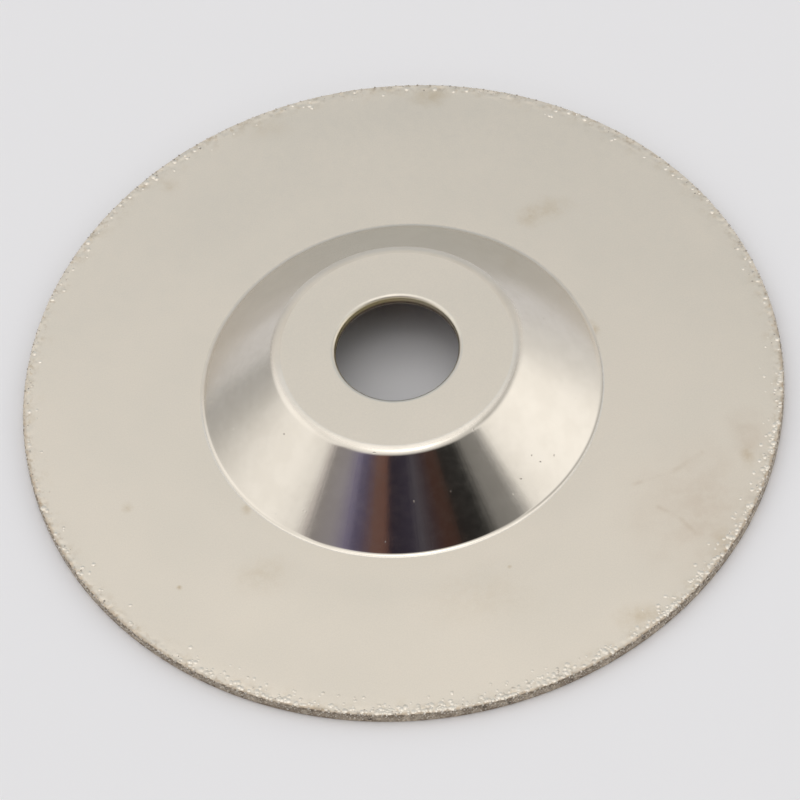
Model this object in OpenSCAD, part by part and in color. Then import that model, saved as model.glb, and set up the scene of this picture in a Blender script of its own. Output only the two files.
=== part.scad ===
// A dished diamond grinding wheel. A steel disc is pressed up into a hollow boss round its bore.
// Nickel coats the back, the bore and the recess under the boss. Diamond grains stand out of a
// thicker nickel bond on the flat face and the rim, and some spill over onto the back.
// The wheel lies on its diamond face. Z is its axis, and z = 0 is the level of the grains' tips.

/* [Wheel] */
// Diameter over the grains on the rim
wheel_d = 100; // [96:0.5:104]
// Height from the tips of the face's grains to the top of the boss
wheel_h = 10.7; // [9:0.1:13]
// Finished diameter of the bore
bore_d = 16; // [14:0.1:20]

/* [Pressing] */
// Thickness of the steel sheet
sheet_t = 1.2; // [1:0.05:1.5]
// Diameter of the flat seat on top of the boss
seat_d = 30.2; // [28:0.1:33]
// Diameter of the circle where the boss rises from the flat of the wheel
foot_d = 53; // [50:0.1:56]
// Radius of the bend between the seat and the cone, over the nickel
shoulder_bend = 2.2; // [1.9:0.1:2.8]
// Radius of the bend between the cone and the flat, over the nickel
foot_bend = 1; // [0.6:0.1:1.6]
// Radius that the punch left on the upper edge of the bore, over the nickel
bore_lip = 0.6; // [0.3:0.05:0.7]

/* [Nickel] */
// Thickness of the nickel coat on the back, the bore and the recess
coat_t = 0.1; // [0.09:0.01:0.12]
// Thickness of the nickel bond that holds the grains
bond_t = 0.15; // [0.12:0.01:0.2]
// Inner diameter of the diamond face
face_in_d = 55; // [54:0.5:70]
// Radius of the bead that the bond builds up along the outer edge of the face
bead_r = 0.25; // [0.2:0.01:0.3]

/* [Diamonds] */
// How far a grain stands out of the nickel
grain_out = 0.17; // [0.12:0.01:0.2]
// Width of a grain where it leaves the nickel
grain_w = 0.3; // [0.2:0.01:0.36]
// Number of grains on the face
face_grains = 1200; // [400:100:1600]
// Number of grains round the rim
rim_grains = 480; // [240:20:600]
// Number of grains that spill over onto the back
margin_grains = 480; // [240:20:600]
// Width of the strip of the back that carries grains
margin_w = 2; // [1:0.1:3]

/* [Hidden] */

$fn = 180;
// straight steps that each bend is drawn in
bend_steps = 12;
golden_angle = 137.508;
golden_ratio = 0.618034;
// a grain's clearance from the edges of the surface that it stands on
grain_gap = 0.2;
grain_seed = 7;

steel_colour = [0.62, 0.61, 0.60];
satin_colour = [0.80, 0.78, 0.73];
bright_colour = [0.90, 0.88, 0.84];
bond_colour = [0.56, 0.53, 0.48];
diamond_colour = [0.70, 0.67, 0.58];

bore_r = bore_d / 2;
seat_r = seat_d / 2;
foot_r = foot_d / 2;
face_in_r = face_in_d / 2;
// outside of the bond on the rim, and of the steel inside it
rim_r = wheel_d / 2 - grain_out;
sheet_r = rim_r - bond_t;

// heights of the bond's face, of the steel's underside and of the nickel on the back
bond_z = grain_out;
face_z = bond_z + bond_t;
back_z = face_z + sheet_t + coat_t;

// depth of the steel's underside below the nickel on top, and of the recess coat's face
sheet_depth = coat_t + sheet_t;
full_depth = sheet_depth + coat_t;

// centres of the bends, in the plane of radius and height
shoulder_c = [seat_r, wheel_h - shoulder_bend];
foot_c = [foot_r, back_z + foot_bend];
lip_c = [bore_r + bore_lip, wheel_h - bore_lip];

// the cone is the straight line that runs on from both bends
between = foot_c - shoulder_c;
cone_a = asin((shoulder_bend + foot_bend) / norm(between)) - atan2(between.y, between.x);

// ---- Outlines in the plane of radius and height. A depth is measured down from the nickel on top. ----

// Points on an arc round c, both ends included
function arc(c, r, from, to) =
  [for (i = [0 : bend_steps]) let (a = from + (to - from) * i / bend_steps) c + r * [cos(a), sin(a)]];

function backwards(points) = [for (i = [len(points) - 1 : -1 : 0]) points[i]];

// The surface at this depth, from the edge of the seat, down the cone and out to the flat
function wall_line(depth) = concat(
  arc(shoulder_c, shoulder_bend - depth, 90, 90 - cone_a),
  arc(foot_c, foot_bend + depth, 270 - cone_a, 270));

// The rounded upper edge of the bore at this depth, from the bore's wall to the seat
function lip_line(depth) = arc(lip_c, bore_lip - depth, 180, 90);

module box(r_in, r_out, z_low, z_high) {
  translate([r_in, z_low]) square([r_out - r_in, z_high - z_low]);
}

// ---- Diamond grains. Only the part that stands out of the nickel is drawn. ----

// One grain on the XY plane, with its tip at [lean, 0, grain_out]
module grain(spin, lean) {
  long = grain_w / 2;
  short = 0.8 * long;
  rotate(spin) polyhedron(
    points = [[long, 0, 0], [0, short, 0], [-long, 0, 0], [0, -short, 0], [lean, 0, grain_out]],
    faces = [[0, 1, 2, 3], [1, 0, 4], [2, 1, 4], [3, 2, 4], [0, 3, 4]]);
}

// Random spins in degrees and leans in millimetres, the same on every run
function spins(count, seed) = rands(0, 360, count, seed);
function leans(count, seed) = rands(-grain_w / 5, grain_w / 5, count, seed + 1);

// ---- Sub-parts ----

// The pressed steel disc, with the radius of the punch on its bore
module steel_blank() {
  color(steel_colour) rotate_extrude() polygon(concat(
    [[bore_r + coat_t, wheel_h - sheet_depth]],
    lip_line(coat_t),
    wall_line(coat_t),
    [[sheet_r, back_z - coat_t], [sheet_r, face_z]],
    backwards(wall_line(sheet_depth))));
}

// Satin nickel on the flat of the back
module back_plating() {
  color(satin_colour) rotate_extrude() box(foot_r, sheet_r, back_z - coat_t, back_z);
}

// Bright nickel on the cone and its two bends
module cone_plating() {
  color(bright_colour) rotate_extrude() polygon(concat(wall_line(0), backwards(wall_line(coat_t))));
}

// Satin nickel on the seat
module seat_plating() {
  color(satin_colour) rotate_extrude() box(lip_c.x, seat_r, wheel_h - coat_t, wheel_h);
}

// Nickel over the rounded edge and the wall of the bore
module bore_plating() {
  bottom = wheel_h - sheet_depth;
  color(bright_colour) rotate_extrude() polygon(concat(
    [[bore_r, bottom]],
    lip_line(0),
    backwards(lip_line(coat_t)),
    [[bore_r + coat_t, bottom]]));
}

// Nickel under the boss, out to the diamond face
module recess_plating() {
  color(satin_colour) rotate_extrude() polygon(concat(
    [[bore_r, wheel_h - full_depth], [bore_r, wheel_h - sheet_depth]],
    wall_line(sheet_depth),
    [[face_in_r, back_z - sheet_depth], [face_in_r, back_z - full_depth]],
    backwards(wall_line(full_depth))));
}

// Nickel bond on the working face, with the bead along its edge that the wheel rests on
module face_bond() {
  color(bond_colour) rotate_extrude() {
    box(face_in_r, sheet_r, bond_z, face_z);
    intersection() {
      translate([rim_r - bead_r, bead_r]) circle(bead_r);
      box(sheet_r - 2 * bead_r, rim_r + bead_r, -bead_r, face_z);
    }
  }
}

// Nickel bond round the rim, with a rounded upper edge
module rim_bond() {
  color(bond_colour) rotate_extrude() {
    box(sheet_r, rim_r, face_z, back_z - bond_t);
    intersection() {
      translate([sheet_r, back_z - bond_t]) circle(bond_t);
      box(sheet_r, rim_r + bond_t, back_z - bond_t, back_z + bond_t);
    }
  }
}

// Grains spread evenly over the face, inside the bead
module face_diamonds() {
  low = face_in_r + grain_gap;
  high = rim_r - 2 * bead_r - grain_gap;
  spin = spins(face_grains, grain_seed);
  lean = leans(face_grains, grain_seed);
  color(diamond_colour) for (i = [0 : face_grains - 1]) {
    r = sqrt(low ^ 2 + (high ^ 2 - low ^ 2) * (i + 0.5) / face_grains);
    rotate(i * golden_angle) translate([r, 0, bond_z]) mirror([0, 0, 1]) grain(spin[i], lean[i]);
  }
}

// Grains round the rim, at heights that never repeat
module rim_diamonds() {
  low = face_z + grain_gap;
  high = back_z - bond_t - grain_gap;
  spin = spins(rim_grains, grain_seed + 2);
  lean = leans(rim_grains, grain_seed + 2);
  color(diamond_colour) for (i = [0 : rim_grains - 1]) {
    z = low + (high - low) * (i * golden_ratio % 1);
    rotate(i * 360 / rim_grains) translate([rim_r, 0, z]) rotate([0, 90, 0]) grain(spin[i], lean[i]);
  }
}

// Grains on the edge of the back, closer together towards the rim
module margin_diamonds() {
  spin = spins(margin_grains, grain_seed + 4);
  lean = leans(margin_grains, grain_seed + 4);
  inward = rands(0, 1, margin_grains, grain_seed + 6);
  color(diamond_colour) for (i = [0 : margin_grains - 1]) {
    r = sheet_r - grain_gap - margin_w * inward[i] ^ 2;
    rotate(i * 360 / margin_grains) translate([r, 0, back_z]) grain(spin[i], lean[i]);
  }
}

steel_blank();
back_plating();
cone_plating();
seat_plating();
bore_plating();
recess_plating();
face_bond();
rim_bond();
face_diamonds();
rim_diamonds();
margin_diamonds();
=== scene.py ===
"""A dished diamond grinding wheel, lying on its diamond face on a pale floor.

Lengths are in millimetres until a mesh is made, and the frame is in metres. Angles round the wheel
start at +X and go anticlockwise from above. The camera stands on the -Y side.
"""

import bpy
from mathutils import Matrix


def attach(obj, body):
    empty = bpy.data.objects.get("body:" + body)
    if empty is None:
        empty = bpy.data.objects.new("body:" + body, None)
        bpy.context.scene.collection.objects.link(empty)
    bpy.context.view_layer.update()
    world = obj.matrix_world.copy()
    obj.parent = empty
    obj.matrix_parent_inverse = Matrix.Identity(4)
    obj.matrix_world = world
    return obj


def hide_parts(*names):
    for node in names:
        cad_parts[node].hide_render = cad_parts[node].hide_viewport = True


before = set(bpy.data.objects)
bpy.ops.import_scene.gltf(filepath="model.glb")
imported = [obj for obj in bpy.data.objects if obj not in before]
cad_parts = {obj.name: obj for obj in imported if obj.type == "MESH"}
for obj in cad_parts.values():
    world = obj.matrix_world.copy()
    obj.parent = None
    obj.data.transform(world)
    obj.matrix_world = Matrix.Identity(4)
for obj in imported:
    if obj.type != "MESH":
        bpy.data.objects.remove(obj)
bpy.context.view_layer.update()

import math

import bmesh
import bpy
import numpy as np
from mathutils import Matrix, Vector

MM = 0.001
DEGREE = math.pi / 180
QUARTER = math.pi / 2
GOLDEN = (math.sqrt(5) - 1) / 2

# ---- The camera, at the photograph's viewing angle, in mm and degrees ----
CAMERA_AT = (0.0, -381.59, 554.72)
CAMERA_AIM = (-0.448, -0.87, 0.0)
CAMERA_ROLL = 7.43
LENS = 231.4
SENSOR = 36.0

# ---- What the CAD source says and no box can ----
SHOULDER_BEND = 2.2
FOOT_BEND = 1.0
BEAD_R = 0.25


def ring(node):
    """The smallest and largest radius and height of a CAD node, in mm."""
    co = np.array([v.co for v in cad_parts[node].data.vertices]) / MM
    r = np.hypot(co[:, 0], co[:, 1])
    return r.min(), r.max(), co[:, 2].min(), co[:, 2].max()


BACK_IN, SHEET_R, BACK_LOW, BACK_Z = ring("back_plating")
SEAT_IN, SEAT_R, _, TOP_Z = ring("seat_plating")
BORE_R, _, BORE_LOW, _ = ring("bore_plating")
FACE_IN, RIM_R, _, FACE_Z = ring("face_bond")
FOOT_R = BACK_IN
# thickness of the nickel coat, and radius of the bore's rounded edge
COAT = BACK_Z - BACK_LOW
LIP = SEAT_IN - BORE_R
# depth of the steel's underside below the nickel on top, and of the recess coat's face
SHEET_DEPTH = TOP_Z - BORE_LOW
FULL_DEPTH = SHEET_DEPTH + COAT
# the bond is as thick on the face as on the rim
BOND_T = RIM_R - SHEET_R
BOND_Z = FACE_Z - BOND_T
# centres of the bends, in the plane of radius and height
SHOULDER_C = np.array([SEAT_R, TOP_Z - SHOULDER_BEND])
FOOT_C = np.array([FOOT_R, BACK_Z + FOOT_BEND])
LIP_C = np.array([SEAT_IN, TOP_Z - LIP])


def cone_slope():
    """The slope of the straight line that runs on from both bends, in radians."""
    across, up = FOOT_C - SHOULDER_C
    return math.asin((SHOULDER_BEND + FOOT_BEND) / np.hypot(across, up)) - math.atan2(up, across)


CONE_A = cone_slope()

# ---- Outlines in the plane of radius and height. A depth is measured down from the nickel on top. ----
# straight steps that each bend is drawn in
SHOULDER_STEPS = 14
FOOT_STEPS = 10
LIP_STEPS = 16


def arc(c, r, start, end, steps):
    """Points on an arc round c, angles in radians, both ends included."""
    a = np.linspace(start, end, steps + 1)
    return np.column_stack([c[0] + r * np.cos(a), c[1] + r * np.sin(a)])


def straight(a, b, steps):
    """The points between a and b, both ends left out."""
    t = np.arange(1, steps)[:, None] / steps
    return np.array(a) * (1 - t) + np.array(b) * t


def wall(depth, finer=1, cone_steps=1):
    """The surface at this depth, from the edge of the seat, down the cone and out to the flat."""
    top = arc(SHOULDER_C, SHOULDER_BEND - depth, QUARTER, QUARTER - CONE_A, SHOULDER_STEPS * finer)
    foot = arc(FOOT_C, FOOT_BEND + depth, 3 * QUARTER - CONE_A, 3 * QUARTER, FOOT_STEPS * finer)
    return np.vstack([top, straight(top[-1], foot[0], cone_steps), foot])


def lip(depth):
    """The rounded upper edge of the bore at this depth, from its wall to the seat."""
    return arc(LIP_C, LIP - depth, math.pi, QUARTER, LIP_STEPS)


def cone_z(r):
    """The height of the cone's surface at this radius."""
    top = SHOULDER_C + SHOULDER_BEND * np.array([math.sin(CONE_A), math.cos(CONE_A)])
    return float(top[1] - (r - top[0]) * math.tan(CONE_A))


def coat(outward, z):
    """The outline of a flat coat of nickel through these radii, with its face at this height."""
    top = np.column_stack([outward, np.full_like(outward, z)])
    low = np.array([[outward[-1], z - COAT], [outward[0], z - COAT]])
    return np.vstack([top, low])


# ---- Mesh making ----
def new_piece(name, verts, faces, node, material, smooth_angle=None):
    """A mesh object from points in mm, riding on the wheel and standing for its CAD node.

    Edges that turn by less than smooth_angle, in degrees, shade smooth. With no angle, none does.
    """
    mesh = bpy.data.meshes.new(name)
    mesh.from_pydata((np.asarray(verts) * MM).tolist(), [], faces)
    mesh.validate()
    if smooth_angle is not None:
        mesh.shade_smooth()
        mesh.set_sharp_from_angle(angle=smooth_angle * DEGREE)
    mesh.materials.append(material)
    piece = bpy.data.objects.new(name, mesh)
    bpy.context.scene.collection.objects.link(piece)
    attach(piece, "root")
    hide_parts(node)
    return piece


def lathe(profile, segments, move=None):
    """Points and faces of a closed outline turned round Z. move changes the points' r, z at each angle."""
    profile = np.asarray(profile)
    r, z = profile.T
    if np.sum(r * np.roll(z, -1) - np.roll(r, -1) * z) < 0:
        profile = profile[::-1]
    n = len(profile)
    angle = np.arange(segments) * 2 * math.pi / segments
    r = np.repeat(profile[:, 0][:, None], segments, 1)
    z = np.repeat(profile[:, 1][:, None], segments, 1)
    a = np.repeat(angle[None, :], n, 0)
    if move is not None:
        r, z = move(r, z, a)
    verts = np.stack([r * np.cos(a), r * np.sin(a), z], -1).reshape(-1, 3)
    i = np.arange(n)[:, None]
    j = np.arange(segments)[None, :]
    i2, j2 = (i + 1) % n, (j + 1) % segments
    faces = np.stack([i * segments + j, i * segments + j2, i2 * segments + j2, i2 * segments + j], -1)
    return verts, faces.reshape(-1, 4).tolist()


def turned_piece(name, outline, segments, node, material, smooth_angle, move=None):
    """A piece made by turning a closed outline."""
    verts, faces = lathe(outline, segments, move)
    new_piece(name, verts, faces, node, material, smooth_angle)


def lumps(a, across, cells_round, cells_across, seed):
    """Smooth noise from -1 to 1 that closes on itself round the wheel. across runs from 0 to 1."""
    grid = np.random.default_rng(seed).uniform(-1, 1, (cells_across + 2, cells_round))
    u = (a / (2 * math.pi)) % 1 * cells_round
    v = np.clip(across, 0, 1) * cells_across
    u0, v0 = np.floor(u).astype(int), np.floor(v).astype(int)
    fu, fv = u - u0, v - v0
    fu, fv = fu * fu * (3 - 2 * fu), fv * fv * (3 - 2 * fv)
    u0, u1 = u0 % cells_round, (u0 + 1) % cells_round
    low = grid[v0, u0] * (1 - fu) + grid[v0, u1] * fu
    high = grid[v0 + 1, u0] * (1 - fu) + grid[v0 + 1, u1] * fu
    return low * (1 - fv) + high * fv


def rise(x, low, high):
    """0 below low, 1 above high, and smooth between."""
    t = np.clip((x - low) / (high - low), 0, 1)
    return t * t * (3 - 2 * t)


# ---- Marks on the nickel ----
# smudges on the flat of the back, as (x, y, radius, squash, strength), in mm
SMUDGES = [
    (20.0, 24.8, 2.4, (1.0, 1.0, 1), 0.7),
    (22.4, 25.7, 2.6, (1.5, 0.9, 1), 0.6),
    (9.0, 47.0, 2.4, (1.4, 1.0, 1), 0.8),
    (-13.4, 45.0, 3.0, (1.3, 0.8, 1), 0.3),
    (-27.5, 37.6, 1.6, (1.0, 1.0, 1), 0.5),
    (-20.8, -26.2, 4.6, (1.1, 0.8, 1), 0.4),
    (6.7, -33.6, 7.5, (1.2, 0.8, 1), 0.22),
    (26.2, -39.6, 3.2, (1.3, 0.8, 1), 0.7),
    (38.0, -29.6, 2.2, (0.9, 1.2, 1), 0.5),
    (43.0, -17.5, 1.5, (0.8, 1.5, 1), 0.8),
    (25.9, 5.2, 1.3, (0.8, 1.3, 1), 0.9),
    (-21.9, -15.9, 0.9, (1.0, 1.2, 1), 0.9),
    (10.7, -29.7, 0.4, (1.0, 1.0, 1), 1.5),
    (-31.5, -26.4, 0.5, (1.0, 1.0, 1), 1.2),
    (-37.2, -13.2, 1.0, (1.0, 1.0, 1), 0.7),
]
# the broad, redder stain on the right, in the same way
STAINS = [
    (36.0, -25.0, 12.0, (0.95, 1.15, 1), 0.6),
    (33.5, -21.5, 4.5, (1.3, 0.6, 1), 0.4),
    (43.5, -14.5, 4.4, (0.8, 1.3, 1), 0.55),
    (35.5, -28.5, 5.5, (1.1, 0.8, 1), 0.5),
]
# faint lines in that stain, as (x, y, x, y, width)
CREASES = [
    (27.8, -19.7, 33.2, -18.5, 0.45),
    (33.2, -18.5, 37.2, -16.2, 0.6),
    (30.6, -23.6, 33.0, -25.6, 0.5),
    (33.0, -25.6, 34.8, -28.2, 0.6),
]
ROUND_PIT = (1, 1, 1)
# pits and nicks on the cone, as (x, y, radius, squash)
PITS = [
    (-15.8, -9.6, 0.26, ROUND_PIT),
    (15.4, -15.7, 0.22, ROUND_PIT),
    (16.4, -16.2, 0.24, (1.5, 0.8, 1)),
    (18.3, -15.1, 0.22, (0.8, 1.8, 1)),
    (13.6, -18.5, 0.26, (1.6, 0.8, 1)),
    (19.5, 4.1, 0.2, ROUND_PIT),
    (-4.6, -15.6, 0.24, (2.0, 0.7, 1)),
    (8.4, -14.0, 0.24, (1.0, 1.6, 1)),
]


# ---- Materials ----
class Nodes:
    """An emptied node tree, with a few short ways to add nodes."""

    def __init__(self, tree):
        self.tree = tree
        tree.nodes.clear()

    def set(self, node, values):
        """Links a socket, or stores a plain value, on each named or numbered input."""
        for key, value in values.items():
            if isinstance(value, bpy.types.NodeSocket):
                self.tree.links.new(value, node.inputs[key])
            else:
                node.inputs[key].default_value = value

    def vector(self, operation, *inputs, **named):
        node = self.tree.nodes.new("ShaderNodeVectorMath")
        node.operation = operation
        self.set(node, {**dict(enumerate(inputs)), **named})
        return node.outputs["Value" if operation in ("DISTANCE", "LENGTH", "DOT_PRODUCT") else "Vector"]

    def math(self, operation, *inputs):
        node = self.tree.nodes.new("ShaderNodeMath")
        node.operation = operation
        self.set(node, dict(enumerate(inputs)))
        return node.outputs[0]

    def between(self, value, low, high, to_low=0.0, to_high=1.0, smooth=True):
        """to_low where the value is low, to_high where it is high, and held beyond them."""
        node = self.tree.nodes.new("ShaderNodeMapRange")
        node.interpolation_type = "SMOOTHSTEP" if smooth else "LINEAR"
        self.set(node, {"Value": value, "From Min": low, "From Max": high})
        self.set(node, {"To Min": to_low, "To Max": to_high})
        return node.outputs["Result"]

    def mix(self, factor, a, b, blend="MIX"):
        """A mix of two colours. The colour sockets of the node are its inputs 6 and 7, and its output 2."""
        node = self.tree.nodes.new("ShaderNodeMix")
        node.data_type = "RGBA"
        node.blend_type = blend
        for key, value in ((0, factor), (6, a), (7, b)):
            if isinstance(value, bpy.types.NodeSocket):
                self.tree.links.new(value, node.inputs[key])
            else:
                node.inputs[key].default_value = (*value, 1) if isinstance(value, tuple) else value
        return node.outputs[2]

    def parts(self, vector):
        """The X, Y and Z of a vector."""
        split = self.tree.nodes.new("ShaderNodeSeparateXYZ")
        self.set(split, {0: vector})
        return split.outputs


class Maker(Nodes):
    """A material on one Principled shader. Textures work in mm."""

    def __init__(self, name, color, metallic, roughness, ior=1.5):
        self.material = bpy.data.materials.new(name)
        self.material.use_nodes = True
        self.material.diffuse_color = (*color, 1)
        super().__init__(self.material.node_tree)
        out = self.tree.nodes.new("ShaderNodeOutputMaterial")
        self.shader = self.tree.nodes.new("ShaderNodeBsdfPrincipled")
        self.tree.links.new(self.shader.outputs["BSDF"], out.inputs["Surface"])
        self.set(self.shader, {"Base Color": (*color, 1), "Metallic": metallic})
        self.set(self.shader, {"Roughness": roughness, "IOR": ior})
        coord = self.tree.nodes.new("ShaderNodeTexCoord")
        self.mm = self.vector("SCALE", coord.outputs["Object"], Scale=1 / MM)

    def noise(self, scale, detail=2.0, rough=0.5, vector=None):
        """Cloudy noise, mostly between 0.3 and 0.7, with about this many waves to the mm."""
        node = self.tree.nodes.new("ShaderNodeTexNoise")
        self.set(node, {"Vector": self.mm if vector is None else vector, "Scale": scale})
        self.set(node, {"Detail": detail, "Roughness": rough})
        return node.outputs["Fac"]

    def cells(self, scale):
        """How far it is, in steps of 1 / scale mm, to the nearest of many scattered points."""
        node = self.tree.nodes.new("ShaderNodeTexVoronoi")
        self.set(node, {"Vector": self.mm, "Scale": scale})
        return node.outputs["Distance"]

    def bump(self, height, distance, strength=1.0, normal=None):
        """A bump of this depth in mm, on top of another one if normal is given."""
        node = self.tree.nodes.new("ShaderNodeBump")
        self.set(node, {"Height": height, "Distance": distance * MM, "Strength": strength})
        if normal is not None:
            self.set(node, {"Normal": normal})
        return node.outputs["Normal"]

    def axes(self):
        return self.parts(self.mm)

    def radius(self):
        """The distance from the wheel's axis."""
        x, y, _ = self.axes()
        square = self.math("ADD", self.math("MULTIPLY", x, x), self.math("MULTIPLY", y, y))
        return self.math("SQRT", square)

    def near(self, x, y, z, radius, squash=(1, 1, 1), wobble=0.0):
        """1 at a point, falling to 0 at a radius round it."""
        place = self.vector("SUBTRACT", self.mm, (x, y, z))
        place = self.vector("MULTIPLY", place, tuple(1 / s for s in squash))
        distance = self.vector("LENGTH", place)
        if wobble:
            ripple = self.math("MULTIPLY", self.noise(3 / radius), wobble * radius)
            distance = self.math("ADD", distance, ripple)
        return self.between(distance, radius, 0.0)

    def stroke(self, x1, y1, x2, y2, z, width):
        """1 on the line between two points at one height, falling to 0 at a width on either side."""
        along = (x2 - x1, y2 - y1, 0.0)
        place = self.vector("SUBTRACT", self.mm, (x1, y1, z))
        part = self.vector("DOT_PRODUCT", place, along)
        part = self.between(part, 0.0, along[0] ** 2 + along[1] ** 2, smooth=False)
        nearest = self.vector("SCALE", along, Scale=part)
        distance = self.vector("DISTANCE", place, nearest)
        ripple = self.math("MULTIPLY", self.noise(0.8), 0.4 * width)
        distance = self.math("ADD", distance, ripple)
        return self.between(distance, 1.2 * width, 0.2 * width)

    def any_of(self, masks):
        """The strongest of several masks at each place."""
        total = masks[0]
        for mask in masks[1:]:
            total = self.math("MAXIMUM", total, mask)
        return total

    def finish(self, **sockets):
        """Gives the shader its last values and returns the material."""
        self.set(self.shader, {key.replace("_", " "): value for key, value in sockets.items()})
        return self.material


def patches(m, table):
    """1 in the middle of each patch of a table and 0 round it, times the patch's strength."""
    return m.any_of([m.math("MULTIPLY", m.near(x, y, BACK_Z, 1.5 * size, squash, wobble=0.5), strength)
                     for x, y, size, squash, strength in table])


def edge_strip(m, r, width):
    """0 at this distance in from the edge of the back, rising to 1 at the edge."""
    return m.between(r, SHEET_R - width, SHEET_R)


# the colour that a nickel material has before its nodes are built, and in the solid view
NICKEL = (0.76, 0.70, 0.61)


def satin_nickel():
    """Nickel over sheet that kept its rolled skin: an even, pearly grey.

    It has brown smudges, a redder stain with a few creases, grime and specks at its edge, and a darker line
    along the near part of its edge. Painted shade makes it a little darker towards the far right.
    """
    m = Maker("satin_nickel", NICKEL, 1.0, 0.34)
    x, y, _ = m.axes()
    cloud = m.between(m.noise(0.05, 3.0, 0.6), 0.3, 0.7)
    color = m.mix(cloud, (0.795, 0.714, 0.598), (0.824, 0.735, 0.614))
    flake = m.between(m.noise(5.0, 3.0, 0.7), 0.35, 0.65)
    color = m.mix(flake, color, (0.965, 0.965, 0.97), "MULTIPLY")
    # painted shade: a little darker towards the far right, where the light is weaker
    across = m.math("ADD", m.math("MULTIPLY", x, 0.75), m.math("MULTIPLY", y, 0.65))
    color = m.mix(m.between(across, -35.0, 45.0, smooth=False), color, (0.95, 0.948, 0.946), "MULTIPLY")

    patchy = m.between(m.noise(0.8, 4.0, 0.65), 0.3, 0.65, 0.35, 1.0)
    smudge = m.math("MULTIPLY", patches(m, SMUDGES), patchy)
    color = m.mix(smudge, color, (0.76, 0.68, 0.55), "MULTIPLY")
    spread = m.between(m.noise(0.35, 3.0, 0.6), 0.35, 0.6, 0.5, 1.0)
    darkening = m.math("MULTIPLY", patches(m, STAINS), spread)
    color = m.mix(darkening, color, (0.79, 0.71, 0.65), "MULTIPLY")
    broken = m.between(m.noise(0.5, 2.0), 0.4, 0.6, 0.08, 0.3)
    crease = m.any_of([m.stroke(*ends, BACK_Z, width) for *ends, width in CREASES])
    color = m.mix(m.math("MULTIPLY", crease, broken), color, (0.78, 0.71, 0.64), "MULTIPLY")

    r = m.radius()
    grime = m.math("MULTIPLY", edge_strip(m, r, 3.2), m.between(m.noise(0.5, 4.0, 0.65), 0.48, 0.7))
    color = m.mix(m.math("MULTIPLY", grime, 0.4), color, (0.76, 0.69, 0.58), "MULTIPLY")
    speck = m.math("MULTIPLY", edge_strip(m, r, 1.6), m.between(m.noise(1.7, 3.0, 0.6), 0.5, 0.7))
    color = m.mix(m.math("MULTIPLY", speck, 0.6), color, (0.66, 0.57, 0.47), "MULTIPLY")
    # darker along the outer half mm of the back, on the near side only
    near_edge_line = m.math("MULTIPLY", edge_strip(m, r, 0.5), m.between(m.noise(1.1, 3.0), 0.3, 0.6, 0.4, 1.0))
    near_side = m.between(y, 20.0, -10.0)
    color = m.mix(m.math("MULTIPLY", near_edge_line, near_side), color, (0.74, 0.67, 0.60), "MULTIPLY")

    rough = m.between(m.noise(1.6, 3.0), 0.3, 0.7, 0.31, 0.37)
    normal = m.bump(m.noise(1.3, 2.0, 0.5), 0.003, 0.5)
    normal = m.bump(m.noise(6.0, 3.0, 0.7), 0.004, 0.5, normal)
    return m.finish(Base_Color=color, Roughness=rough, Normal=normal)


def bright_nickel():
    """Nickel over sheet that the press drew smooth: nearly a mirror, with faint marks down the slope.

    It has a few pits. Its far side is duller, because the lens of the photograph blurs it, and painted
    reflection tints stand in for that blur: cooler on the far half, warmer on the bends from the middle to
    the far side.
    """
    m = Maker("bright_nickel", NICKEL, 1.0, 0.11)
    y = m.axes()[1]
    r = m.radius()
    pits = m.any_of([m.near(px, py, cone_z(math.hypot(px, py)), size, squash, wobble=0.6)
                     for px, py, size, squash in PITS])
    shoulder_end = m.between(r, SEAT_R + 1.5, SEAT_R)
    foot_end = m.between(r, FOOT_R - 0.3, FOOT_R + 0.05)
    satin = m.math("MAXIMUM", shoulder_end, foot_end)
    shoulder = m.between(r, SEAT_R + 1.7, SEAT_R + 0.9)
    foot = m.between(r, FOOT_R - 1.1, FOOT_R - 0.5)
    bends = m.math("MAXIMUM", shoulder, foot)
    far = m.between(y, -8.0, 8.0)
    far_bends = m.math("MULTIPLY", bends, far)

    color = m.mix(m.between(m.noise(0.3, 3.0), 0.35, 0.65), (0.75, 0.69, 0.60), (0.78, 0.72, 0.63))
    color = m.mix(m.math("MULTIPLY", pits, 0.85), color, (0.16, 0.14, 0.12))
    # painted reflection tint: the far half of the cone is tinted a little cooler
    color = m.mix(far, color, (0.975, 0.995, 1.035), "MULTIPLY")
    # painted reflection tint: the bends are tinted warmer from the middle to the far side
    warm_reflection_tint = m.math("MULTIPLY", bends, m.between(y, -4.0, 4.0))
    color = m.mix(warm_reflection_tint, color, (1.0, 0.962, 0.905), "MULTIPLY")

    rough = m.between(m.noise(0.8, 4.0, 0.6), 0.3, 0.7, 0.07, 0.115)
    for mask, more in ((satin, 0.27), (far, 0.13), (far_bends, 0.12), (pits, 0.3)):
        rough = m.math("ADD", rough, m.math("MULTIPLY", mask, more))

    flat = m.vector("MULTIPLY", m.mm, (1.0, 1.0, 0.0))
    round_wheel = m.vector("SCALE", m.vector("NORMALIZE", flat), Scale=21.0)
    streak = m.noise(1.3, 4.0, 0.65, vector=round_wheel)
    peel = m.noise(1.1, 3.0, 0.55)
    fine = m.noise(7.0, 2.0, 0.6)
    dimples = m.math("MULTIPLY", m.between(m.cells(0.8), 0.1, 0.02), m.between(m.noise(0.3, 2.0), 0.5, 0.6))
    pebbles = m.math("MULTIPLY", satin, m.noise(2.4, 3.0, 0.7))
    normal = m.bump(streak, 0.007, 0.5)
    normal = m.bump(peel, 0.006, 0.5, normal)
    normal = m.bump(fine, 0.003, 0.5, normal)
    normal = m.bump(dimples, 0.02, 0.6, normal)
    normal = m.bump(pebbles, 0.045, 0.5, normal)
    normal = m.bump(pits, 0.05, 1.0, normal)
    # the pits go in
    normal.node.invert = True
    return m.finish(Base_Color=color, Roughness=rough, Normal=normal)


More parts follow.
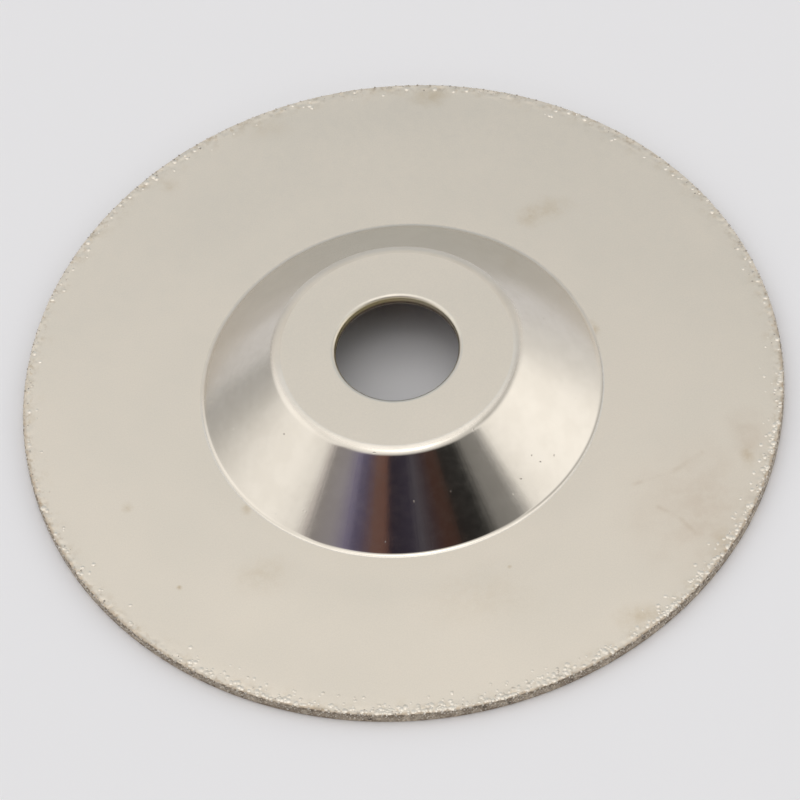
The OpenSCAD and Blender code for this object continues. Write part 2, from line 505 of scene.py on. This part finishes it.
def bore_nickel():
    """The rolled edge of the bore is bright, with a yellow-brown painted shade low on it, more on its left.
    The wall below it is painted dark brown, as shade down the bore.
    """
    m = Maker("bore_nickel", NICKEL, 1.0, 0.2)
    x, y, z = m.axes()
    left = m.between(m.math("ADD", x, m.math("MULTIPLY", y, -0.5)), 4.0, -6.0, 0.4, 1.0)
    lip_shade = m.math("MULTIPLY", m.between(z, TOP_Z - 0.1 * LIP, TOP_Z - 0.7 * LIP), left)
    wall_part = m.between(z, TOP_Z - LIP, TOP_Z - LIP - 0.5)
    color = m.mix(m.between(m.noise(0.7, 3.0), 0.35, 0.65), (0.72, 0.665, 0.575), (0.76, 0.70, 0.60))
    # painted shade: the lower part of the lip is tinted yellow-brown, more on the left
    color = m.mix(lip_shade, color, (0.60, 0.50, 0.27))
    # painted shade: the wall down the bore is dark brown
    color = m.mix(wall_part, color, (0.16, 0.12, 0.09))
    rough = m.between(m.noise(1.2, 3.0), 0.3, 0.7, 0.32, 0.4)
    rough = m.math("ADD", rough, m.math("MULTIPLY", wall_part, 0.2))
    normal = m.bump(m.noise(3.0, 3.0, 0.6), 0.008, 0.5)
    return m.finish(Base_Color=color, Roughness=rough, Normal=normal)


def recess_nickel():
    """The dull nickel under the boss, never handled or polished."""
    m = Maker("recess_nickel", (0.55, 0.51, 0.45), 1.0, 0.42)
    cloud = m.noise(0.12, 4.0, 0.6)
    color = m.mix(m.between(cloud, 0.35, 0.7), (0.45, 0.40, 0.335), (0.37, 0.32, 0.26))
    color = m.mix(m.between(m.noise(1.4, 4.0), 0.5, 0.75, 0.0, 0.35), color, (0.24, 0.20, 0.16))
    rough = m.between(m.noise(1.1, 3.0), 0.3, 0.7, 0.30, 0.44)
    normal = m.bump(m.noise(1.5, 4.0, 0.65), 0.02, 0.5)
    return m.finish(Base_Color=color, Roughness=rough, Normal=normal)


def bond_nickel():
    """The matt, nodular nickel between the grains, stained brown, with dark spots.

    The cleaner nickel of the back runs unevenly over its upper edge, further down on the far side.
    """
    m = Maker("bond_nickel", (0.46, 0.42, 0.36), 0.45, 0.5)
    patch = m.noise(0.9, 4.0, 0.6)
    nodule = m.cells(2.2)
    color = m.mix(m.between(patch, 0.42, 0.6), (0.31, 0.25, 0.187), (0.60, 0.515, 0.41))
    color = m.mix(m.between(nodule, 0.25, 0.6, 0.0, 0.5), color, (0.20, 0.16, 0.12))
    spots = m.between(m.cells(0.62), 0.13, 0.24, 0.8, 0.0)
    color = m.mix(spots, color, (0.07, 0.05, 0.035))
    _, y, z = m.axes()
    ragged = m.math("ADD", z, m.between(m.noise(1.8, 3.0, 0.6), 0.3, 0.7, -0.11, 0.11, smooth=False))
    ragged = m.math("ADD", ragged, m.between(y, -10.0, 20.0, 0.0, 0.16))
    over = m.between(ragged, BACK_Z - 0.07, BACK_Z + 0.06)
    # darker in a band just under the top of the rim, below where the back's nickel runs over it
    darkening = m.math("MULTIPLY", m.between(ragged, BACK_Z - 0.5, BACK_Z - 0.25), 0.45)
    color = m.mix(darkening, color, (0.15, 0.115, 0.08))
    clean = m.mix(m.between(y, -10.0, 20.0), (0.60, 0.52, 0.42), (0.80, 0.72, 0.61))
    color = m.mix(over, color, clean)
    rough = m.between(m.noise(2.5, 3.0), 0.3, 0.7, 0.4, 0.62)
    metallic = m.between(over, 0.0, 1.0, 0.45, 1.0)
    normal = m.bump(nodule, 0.10, 0.6)
    normal = m.bump(m.noise(6.0, 3.0, 0.6), 0.03, 0.6, normal)
    return m.finish(Base_Color=color, Metallic=metallic, Roughness=rough, Normal=normal)


# a grain's tone is below this if it is bare, and above it if nickel covers it
BARE_TONE = 0.5


def diamond_grit():
    """Grains of synthetic diamond: clear yellow-grey facets, some still skinned with nickel."""
    m = Maker("diamond_grit", (0.55, 0.52, 0.42), 0.0, 0.12, ior=2.4)
    attribute = m.tree.nodes.new("ShaderNodeAttribute")
    attribute.attribute_name = "grain_tone"
    tone = attribute.outputs["Fac"]
    color = m.mix(m.between(tone, 0.0, BARE_TONE), (0.52, 0.465, 0.37), (0.30, 0.25, 0.19))
    plated = m.between(tone, BARE_TONE + 0.02, BARE_TONE + 0.06)
    color = m.mix(plated, color, (0.66, 0.61, 0.54))
    color = m.mix(m.between(m.noise(4.0, 3.0), 0.6, 0.8, 0.0, 0.5), color, (0.25, 0.21, 0.16))
    rough = m.between(m.noise(8.0, 2.0), 0.3, 0.7, 0.2, 0.42)
    normal = m.bump(m.noise(9.0, 2.0), 0.01, 0.5)
    return m.finish(Base_Color=color, Metallic=plated, Roughness=rough, Normal=normal)


def nodule_nickel():
    """Bright nickel that has grown over the grains on the edge of the back."""
    m = Maker("nodule_nickel", (0.84, 0.80, 0.73), 1.0, 0.3)
    color = m.mix(m.between(m.noise(1.2, 3.0), 0.35, 0.65), (0.775, 0.705, 0.60), (0.845, 0.775, 0.67))
    color = m.mix(m.between(m.noise(0.7, 3.0), 0.58, 0.7, 0.0, 0.5), color, (0.54, 0.46, 0.37))
    rough = m.between(m.noise(5.0, 2.0), 0.3, 0.7, 0.34, 0.48)
    normal = m.bump(m.noise(7.0, 3.0, 0.6), 0.015, 0.6)
    return m.finish(Base_Color=color, Roughness=rough, Normal=normal)


def cold_rolled_steel():
    """The blank's own steel, all under nickel."""
    m = Maker("cold_rolled_steel", (0.35, 0.34, 0.33), 1.0, 0.38)
    grain = m.noise(0.4, 4.0, 0.6, vector=m.vector("MULTIPLY", m.mm, (1.0, 12.0, 1.0)))
    color = m.mix(m.between(grain, 0.3, 0.7), (0.31, 0.30, 0.29), (0.39, 0.38, 0.37))
    rough = m.between(grain, 0.3, 0.7, 0.32, 0.46)
    return m.finish(Base_Color=color, Roughness=rough, Normal=m.bump(grain, 0.01, 0.5))


SATIN = satin_nickel()
BRIGHT = bright_nickel()
RECESS = recess_nickel()
BORE = bore_nickel()
BOND = bond_nickel()
GRIT = diamond_grit()
NODULE = nodule_nickel()
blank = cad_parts["steel_blank"].data
blank.materials.clear()
blank.materials.append(cold_rolled_steel())

# ---- The nickel skins ----
# sides of a turned skin
ROUND = 720
# edges turned by less than this shade smooth, in degrees
SKIN_SMOOTH = 40
BOND_SMOOTH = 60


def back_move(r, z, a):
    """The flat of the back: a sheet is never quite flat, and the plating builds up unevenly at its edge."""
    across = (r - FOOT_R) / (SHEET_R - FOOT_R)
    # the wave dies away towards the cone's foot and the edge, where other skins meet this one
    held = rise(across, 0.0, 0.25) * rise(1 - across, 0.0, 0.12)
    top = z > BACK_Z - COAT / 2
    wave = 0.025 * lumps(a, across, cells_round=9, cells_across=3, seed=11) * held
    crust = 0.02 * lumps(a, across, cells_round=620, cells_across=46, seed=12)
    crust = crust * rise(r, SHEET_R - 1.6, SHEET_R - 0.2)
    return r, z + np.where(top, wave + crust, 0.0)


def make_back():
    """The flat of the back, with its rings closer together at the edge."""
    wide_rings = np.linspace(FOOT_R, SHEET_R - 2.4, 34)
    edge_rings = np.linspace(SHEET_R - 2.3, SHEET_R, 24)
    outline = coat(np.concatenate([wide_rings, edge_rings]), BACK_Z)
    sides = 2 * ROUND
    turned_piece("back_skin", outline, sides, "back_plating", SATIN, SKIN_SMOOTH, back_move)


def make_cone():
    outline = np.vstack([wall(0, finer=2, cone_steps=30), wall(COAT)[::-1]])
    turned_piece("cone_skin", outline, ROUND, "cone_plating", BRIGHT, SKIN_SMOOTH)


def make_seat():
    outline = coat(np.linspace(SEAT_IN, SEAT_R, 16), TOP_Z)
    turned_piece("seat_skin", outline, ROUND, "seat_plating", SATIN, SKIN_SMOOTH)


def make_bore():
    foot, top = (BORE_R, BORE_LOW), (BORE_R, TOP_Z - LIP)
    inside = np.vstack([[foot], straight(foot, top, 6), lip(0)])
    back = np.vstack([lip(COAT)[::-1], [[BORE_R + COAT, BORE_LOW]]])
    outline = np.vstack([inside, back])
    turned_piece("bore_skin", outline, ROUND, "bore_plating", BORE, SKIN_SMOOTH)


def make_recess():
    seen_z, hidden_z = TOP_Z - FULL_DEPTH, TOP_Z - SHEET_DEPTH
    ceiling = straight((BORE_R, seen_z), (SEAT_R, seen_z), 8)
    seen = np.vstack([ceiling, wall(FULL_DEPTH, cone_steps=16), [[FACE_IN, BACK_Z - FULL_DEPTH]]])
    hidden = np.vstack([[[FACE_IN, BACK_Z - SHEET_DEPTH]], wall(SHEET_DEPTH)[::-1]])
    outline = np.vstack([seen, hidden, [[BORE_R, hidden_z], [BORE_R, seen_z]]])
    turned_piece("recess_skin", outline, ROUND, "recess_plating", RECESS, SKIN_SMOOTH)


# ---- The bond ----
def rim_move(r, z, a):
    """Nickel that grew in lumps round each grain on the rim."""
    across = (z - FACE_Z) / (BACK_Z - FACE_Z)
    outer = rise(r, SHEET_R + 0.02, RIM_R - 0.02)
    fine = 0.035 * lumps(a, across, cells_round=1300, cells_across=5, seed=21)
    broad = 0.03 * lumps(a, across, cells_round=420, cells_across=3, seed=22)
    # the hollows are a little deeper than the lumps are high
    return r + outer * (fine + broad - 0.02), z


def make_rim():
    side = straight((RIM_R, FACE_Z), (RIM_R, BACK_Z - BOND_T), 10)
    corner = arc((SHEET_R, BACK_Z - BOND_T), BOND_T, 0, QUARTER, 8)
    outline = np.vstack([[[SHEET_R, FACE_Z], [RIM_R, FACE_Z]], side, corner])
    sides = 5 * ROUND
    turned_piece("rim_bond_skin", outline, sides, "rim_bond", BOND, BOND_SMOOTH, rim_move)


def face_move(r, z, a):
    """The bond on the working face, lumpy between its grains."""
    across = (r - FACE_IN) / (RIM_R - FACE_IN)
    under = (z < FACE_Z - 0.02) & (r > FACE_IN + 0.1) & (r < RIM_R - 2 * BEAD_R)
    fine = 0.03 * lumps(a, across, cells_round=300, cells_across=40, seed=31)
    broad = 0.02 * lumps(a, across, cells_round=90, cells_across=12, seed=32)
    return r, z + np.where(under, fine + broad - 0.01, 0.0)


def make_face():
    inward = np.linspace(RIM_R - 2 * BEAD_R, FACE_IN, 56)
    low = np.column_stack([inward, np.full_like(inward, BOND_Z)])
    # the bead starts where it meets the bond's face, and runs up past the rim into the bond there
    start = 2 * QUARTER + math.asin((BEAD_R - BOND_Z) / BEAD_R)
    bead = arc((RIM_R - BEAD_R, BEAD_R), BEAD_R, start, 4 * QUARTER + 0.25, 12)
    outline = np.vstack([low[1:][::-1], bead, [[RIM_R - 0.01, FACE_Z], [FACE_IN, FACE_Z]]])
    sides = 2 * ROUND
    turned_piece("face_bond_skin", outline, sides, "face_bond", BOND, BOND_SMOOTH, face_move)


# ---- The grains ----
def crystal():
    """A cube with its corners cut off, as diamond grows in the press: its points and outward faces."""
    points = [p for p in np.ndindex(3, 3, 3) if sorted(abs(c - 1) for c in p) == [0, 1, 1]]
    points = np.array(points, float) - 1
    # the points of each face, with the way that it looks: six squares, then eight triangles
    faces = []
    for axis in range(3):
        for sign in (-1, 1):
            faces.append(([i for i, p in enumerate(points) if p[axis] == sign], np.eye(3)[axis] * sign))
    for corner in np.ndindex(2, 2, 2):
        way = np.array(corner) * 2.0 - 1
        faces.append(([i for i, p in enumerate(points) if p @ way == 2], way))
    turned = []
    for members, way in faces:
        centre = points[members].mean(0)
        right = points[members[0]] - centre
        up = np.cross(way / np.linalg.norm(way), right)

        def bearing(i):
            return math.atan2((points[i] - centre) @ up, (points[i] - centre) @ right)

        turned.append(sorted(members, key=bearing))
    return points / math.sqrt(2), turned


def turns(count, rng):
    """Random rotations as matrices."""
    q = rng.normal(size=(count, 4))
    w, x, y, z = (q / np.linalg.norm(q, axis=1, keepdims=True)).T
    return np.stack([
        np.stack([1 - 2 * (y * y + z * z), 2 * (x * y - z * w), 2 * (x * z + y * w)], -1),
        np.stack([2 * (x * y + z * w), 1 - 2 * (x * x + z * z), 2 * (y * z - x * w)], -1),
        np.stack([2 * (x * z - y * w), 2 * (y * z + x * w), 1 - 2 * (x * x + y * y)], -1)], 1)


# slope of a dome at its foot, and the angle below which its edges shade smooth, in degrees
DOME_SLOPE = 27
LUMP_SMOOTH = 70


def dome():
    """A grain that the nickel has grown over: a low dome of radius 1 on a flat base, as points and faces."""
    ball = bmesh.new()
    bmesh.ops.create_icosphere(ball, subdivisions=2, radius=1.0)
    points = np.array([v.co for v in ball.verts])
    faces = [[v.index for v in face.verts] for face in ball.faces]
    ball.free()
    # the ball's upper half becomes the dome, and its lower half a flat base a little way under it
    down = np.arccos(np.clip(points[:, 2], -1, 1)) / QUARTER
    way = points[:, :2] / np.maximum(np.linalg.norm(points[:, :2], axis=1, keepdims=True), 1e-6)
    slope = DOME_SLOPE * DEGREE
    angle = np.minimum(down, 1) * slope
    reach = np.where(down < 1, np.sin(angle) / math.sin(slope), 2 - down)
    height = np.where(down < 1.01, (np.cos(angle) - math.cos(slope)) / math.sin(slope), -0.2)
    return np.column_stack([way * reach[:, None], height]), faces


def all_faces(shape, count, points_each):
    """The faces of many copies of one shape."""
    return [[i * points_each + k for k in face] for i in range(count) for face in shape]


def grit(name, centres, radii, node, seed, plated, lowest=None):
    """One mesh of separate grains. plated is the share under nickel. No grain reaches below lowest."""
    rng = np.random.default_rng(seed)
    count = len(centres)
    points, shape = crystal()
    stretch = rng.uniform(0.75, 1.15, (count, 1, 3))
    local = points[None] * stretch * radii[:, None, None]
    verts = np.einsum("nij,nkj->nki", turns(count, rng), local) + centres[:, None, :]
    if lowest is not None:
        verts[..., 2] = np.maximum(verts[..., 2], lowest)
    faces = all_faces(shape, count, len(points))
    piece = new_piece(name, verts.reshape(-1, 3), faces, node, GRIT)
    tone = rng.uniform(0, BARE_TONE, count) + np.where(rng.uniform(size=count) < plated, BARE_TONE, 0.0)
    attribute = piece.data.attributes.new("grain_tone", "FLOAT", "POINT")
    attribute.data.foreach_set("value", np.repeat(tone, len(points)).astype(np.float32))


def nodules(name, centres, radii, node, seed):
    """One mesh of low, rounded lumps, each stretched and dented a little."""
    rng = np.random.default_rng(seed)
    count = len(centres)
    points, shape = dome()
    stretch = rng.uniform(0.8, 1.2, (count, 1, 3))
    dent = rng.uniform(0.94, 1.05, (count, len(points), 1))
    verts = points[None] * stretch * dent * radii[:, None, None] + centres[:, None, :]
    faces = all_faces(shape, count, len(points))
    new_piece(name, verts.reshape(-1, 3), faces, node, NODULE, LUMP_SMOOTH)


def on_wheel(r, a, z):
    """Points from radii, angles and heights."""
    return np.column_stack([r * np.cos(a), r * np.sin(a), z])


def make_rim_grit(count=2300):
    """Grains all round the rim, at heights that never repeat."""
    rng = np.random.default_rng(41)
    i = np.arange(count)
    a = (i + rng.uniform(-0.5, 0.5, count)) * 2 * math.pi / count
    z = FACE_Z + 0.05 + (BACK_Z - 0.08 - FACE_Z) * ((i * GOLDEN) % 1)
    size = rng.uniform(0.14, 0.21, count)
    r = RIM_R - 0.55 * size + rng.uniform(-0.05, 0.02, count)
    grit("rim_grit", on_wheel(r, a, z), size, "rim_diamonds", seed=42, plated=0.35)


# direction in which the margin carries most lumps and grains, in degrees
THICK_AT = 289


def edge_places(count, seed, reach, even):
    """Angles and distances in from the edge of the back, in clumps, and the generator they were drawn from.

    reach is the mean distance in, and even is how thickly they stand away from THICK_AT.
    """
    rng = np.random.default_rng(seed)
    # more places than are needed, thinned out by side and by clump
    a = rng.uniform(0, 2 * math.pi, count * 4)
    side = even + (1 - even) * rise(np.cos(a - THICK_AT * DEGREE), 0.25, 0.92)
    clump = 0.5 + 0.5 * lumps(a, np.zeros_like(a), cells_round=110, cells_across=1, seed=seed + 1)
    keep = rng.uniform(size=len(a)) < side * (0.15 + 0.85 * clump)
    a = a[keep][:count]
    inward = rng.exponential(reach, len(a))
    # the few that fall too far in are drawn again
    return rng, a, np.where(inward > 4 * reach, rng.uniform(0, 2 * reach, len(a)), inward)


def make_margin_grit(count=780):
    """Low lumps that stand on the back."""
    rng, a, inward = edge_places(count, seed=51, reach=0.75, even=0.09)
    size = rng.uniform(0.15, 0.36, len(a)) * np.where(inward < 1.0, 1.0, 0.85)
    r = SHEET_R - 0.7 * size - inward
    nodules("margin_grit", on_wheel(r, a, np.full(len(a), BACK_Z)), size, "margin_diamonds", seed=53)


def make_edge_grit(count=340):
    """Sharp grains along the edge of the back, sunk in it."""
    rng, a, inward = edge_places(count, seed=71, reach=0.3, even=0.55)
    size = rng.uniform(0.11, 0.2, len(a))
    r = SHEET_R + 0.05 - inward
    centres = on_wheel(r, a, BACK_Z - 0.45 * size)
    grit("edge_grit", centres, size, "margin_diamonds", seed=73, plated=0.75)


def make_face_grit(count=9500):
    """Grains spread evenly over the working face, inside the bead."""
    rng = np.random.default_rng(61)
    i = np.arange(count) + 0.5
    low, high = FACE_IN + 0.25, RIM_R - 2 * BEAD_R - 0.15
    r = np.sqrt(low ** 2 + (high ** 2 - low ** 2) * i / count) + rng.uniform(-0.12, 0.12, count)
    a = i * 2 * math.pi * GOLDEN + rng.uniform(-0.003, 0.003, count)
    size = rng.uniform(0.15, 0.26, count)
    z = BOND_Z + 0.2 * size
    grit("face_grit", on_wheel(r, a, z), size, "face_diamonds", seed=62, plated=0.3, lowest=0.004)


make_back()
make_cone()
make_seat()
make_bore()
make_recess()
make_rim()
make_face()
make_rim_grit()
make_margin_grit()
make_edge_grit()
make_face_grit()


# ---- The studio ----
FLOOR_Z = -0.01
FLOOR_RINGS = (300, 900, 1500)


def floor_material():
    """Pale matt paper, very slightly uneven."""
    m = Maker("studio_floor", (0.9, 0.9, 0.905), 0.0, 0.75)
    color = m.mix(m.noise(0.004, 2.0), (0.896, 0.883, 0.886), (0.910, 0.897, 0.90))
    return m.finish(Base_Color=color)


def make_floor(segments=128):
    """A round, flat sheet under the wheel, as part of the studio."""
    a = np.arange(segments) * 2 * math.pi / segments
    verts = [(0.0, 0.0, FLOOR_Z)]
    for r in FLOOR_RINGS:
        verts += on_wheel(r, a, np.full(segments, FLOOR_Z)).tolist()
    faces = [(0, 1 + j, 1 + (j + 1) % segments) for j in range(segments)]
    for k in range(len(FLOOR_RINGS) - 1):
        low, high = 1 + k * segments, 1 + (k + 1) * segments
        for j in range(segments):
            j2 = (j + 1) % segments
            faces.append((low + j, high + j, high + j2, low + j2))
    mesh = bpy.data.meshes.new("floor")
    mesh.from_pydata((np.array(verts) * MM).tolist(), [], faces)
    mesh.shade_smooth()
    mesh.materials.append(floor_material())
    floor = bpy.data.objects.new("floor", mesh)
    bpy.context.scene.collection.objects.link(floor)


# A ramp's colours stay under 1, so they are divided by the peak, which is then the strength of the light.
SKY_PEAK = 2.8
# the low sky to the left and right of the camera, as (degrees round from it, brightness or colour)
SKY_LEFT = [
    (0, (0.08, 0.075, 0.095)),
    (4, (0.04, 0.035, 0.055)),
    (16, (0.02, 0.015, 0.028)),
    (19, (0.135, 0.065, 0.052)),
    (26, (0.13, 0.07, 0.062)),
    (29, (0.085, 0.06, 0.095)),
    (35, (0.09, 0.08, 0.15)),
    (39, (0.19, 0.175, 0.28)),
    (46, (0.29, 0.28, 0.32)),
    (55.5, (0.28, 0.27, 0.28)),
    (59.5, (0.60, 0.58, 0.59)),
    (63.5, 0.93),
    (75, 1.08),
    (90, 1.17),
    (105, 1.21),
    (120, 1.08),
    (135, 0.90),
    (150, (0.71, 0.74, 0.79)),
    (180, (0.55, 0.61, 0.67)),
]
SKY_RIGHT = [
    (0, (0.08, 0.075, 0.095)),
    (7, (0.05, 0.035, 0.042)),
    (12, (0.055, 0.026, 0.021)),
    (18, (0.05, 0.024, 0.018)),
    (21, (0.008, 0.006, 0.006)),
    (32, (0.003, 0.003, 0.003)),
    (36, 0.07),
    (40, 0.22),
    (50.5, 0.27),
    (54.5, 0.52),
    (58.5, 1.0),
    (67, 1.13),
    (90, 1.2),
    (105, 1.14),
    (120, 0.85),
    (135, 0.75),
    (150, (0.65, 0.69, 0.74)),
    (180, (0.55, 0.61, 0.67)),
]
# the upper sky, as (height in degrees, brightness)
SKY_UP = [(55, 0.92), (65, 1.02), (70, 1.08), (76, 1.06), (90, 0.98)]
# The low sky gives way to the upper one between two heights, which both climb between these degrees round.
TURN_ROUND = (60 * DEGREE, 150 * DEGREE)
UPPER_STARTS = (42 * DEGREE, 50 * DEGREE)
UPPER_IS_WHOLE = (62 * DEGREE, 64 * DEGREE)
# the pale light of the table, low on the camera's side: it fades out over these heights and degrees round
TABLE_LIGHT = (0.74, 0.73, 0.72)
TABLE_HEIGHTS = (32 * DEGREE, 22 * DEGREE)
TABLE_ROUND = (75 * DEGREE, 50 * DEGREE)
# dark things in the room, as (degrees round, height, width, tallness, strength), to the right if above 0
DARK_CARDS = [(94, 55, 38, 9, 0.46), (-115, 0, 25, 14, 0.6)]
# brighter places, given in the same way, each on both sides
LAMPS = [(180, 73, 30, 6, 0.2), (40, 50, 14, 6, 0.075), (0, 80, 42, 6, 0.56)]
# what the camera sees past the floor, close to the floor's own look
BACKDROP = (0.752, 0.748, 0.758, 1)


def ramp(m, value, end, stops):
    """The brightness or colour at this angle. The stops run from 0 to end, in degrees."""
    node = m.tree.nodes.new("ShaderNodeValToRGB")
    m.set(node, {"Fac": m.between(value, 0.0, end * DEGREE, smooth=False)})
    elements = node.color_ramp.elements
    for k, (degrees, light) in enumerate(stops):
        # a new ramp has two elements
        element = elements[k] if k < 2 else elements.new(1.0)
        element.position = degrees / abs(end)
        color = light if isinstance(light, tuple) else (light,) * 3
        element.color = (*(c / SKY_PEAK for c in color), 1)
    return node.outputs["Color"]


def spot(m, way, height, middle, middle_height, wide, tall, strength):
    """A soft oval in the sky: strength at its middle, and fading away round it. Its size is in degrees."""
    u = m.math("DIVIDE", m.math("SUBTRACT", way, middle * DEGREE), wide * DEGREE)
    v = m.math("DIVIDE", m.math("SUBTRACT", height, middle_height * DEGREE), tall * DEGREE)
    square = m.math("ADD", m.math("MULTIPLY", u, u), m.math("MULTIPLY", v, v))
    return m.math("MULTIPLY", m.math("EXPONENT", m.math("MULTIPLY", square, -0.5)), strength)


def room_light(m, azimuth, height):
    """The room's light by direction: a pale tent, brightest at the sides and dark towards the camera."""
    away = m.math("ABSOLUTE", azimuth)
    to_right = m.math("GREATER_THAN", azimuth, 0.0)
    low = m.mix(to_right, ramp(m, azimuth, -180, SKY_LEFT), ramp(m, azimuth, 180, SKY_RIGHT))
    start = m.between(away, *TURN_ROUND, *UPPER_STARTS)
    whole = m.between(away, *TURN_ROUND, *UPPER_IS_WHOLE)
    color = m.mix(m.between(height, start, whole), low, ramp(m, height, 90, SKY_UP))
    table = m.math("MULTIPLY", m.between(height, *TABLE_HEIGHTS), m.between(away, *TABLE_ROUND))
    color = m.mix(table, color, tuple(c / SKY_PEAK for c in TABLE_LIGHT))
    for card in DARK_CARDS:
        color = m.mix(spot(m, azimuth, height, *card), color, (0.0, 0.0, 0.0))
    for lamp in LAMPS:
        color = m.mix(spot(m, away, height, *lamp), color, (1.0, 1.0, 1.0), "ADD")
    return color


def make_sky():
    """The soft light comes from a sky fixed to the world. The camera itself sees a plain backdrop."""
    world = bpy.data.worlds.new("studio")
    bpy.context.scene.world = world
    world.use_nodes = True
    m = Nodes(world.node_tree)
    coord = m.tree.nodes.new("ShaderNodeTexCoord")
    x, y, z = m.parts(coord.outputs["Generated"])
    # 0 towards the camera's side, -Y, and growing to the right
    azimuth = m.math("ARCTAN2", x, m.math("MULTIPLY", y, -1.0))
    height = m.math("ARCSINE", z)
    light = m.tree.nodes.new("ShaderNodeBackground")
    m.set(light, {"Color": room_light(m, azimuth, height), "Strength": SKY_PEAK})
    plain = m.tree.nodes.new("ShaderNodeBackground")
    m.set(plain, {"Color": BACKDROP, "Strength": 1.0})
    path = m.tree.nodes.new("ShaderNodeLightPath")
    choose = m.tree.nodes.new("ShaderNodeMixShader")
    m.set(choose, {0: path.outputs["Is Camera Ray"], 1: light.outputs[0], 2: plain.outputs[0]})
    out = m.tree.nodes.new("ShaderNodeOutputWorld")
    m.set(out, {"Surface": choose.outputs[0]})


def make_camera():
    """Looks down at the wheel with a long lens, a little rolled, as the photograph was taken."""
    data = bpy.data.cameras.new("camera")
    data.lens = LENS
    data.sensor_width = SENSOR
    data.clip_start = 0.01
    data.clip_end = 20
    made = bpy.data.objects.new("camera", data)
    bpy.context.scene.collection.objects.link(made)
    at, aim = Vector(CAMERA_AT) * MM, Vector(CAMERA_AIM) * MM
    ahead = (aim - at).normalized()
    right = ahead.cross(Vector((0, 0, 1))).normalized()
    up = right.cross(ahead)
    roll = CAMERA_ROLL * DEGREE
    x = right * math.cos(roll) - up * math.sin(roll)
    y = right * math.sin(roll) + up * math.cos(roll)
    made.matrix_world = Matrix.Translation(at) @ Matrix((x, y, -ahead)).transposed().to_4x4()
    bpy.context.scene.camera = made


make_floor()
make_sky()
make_camera()
bpy.context.scene.view_settings.view_transform = "Standard"
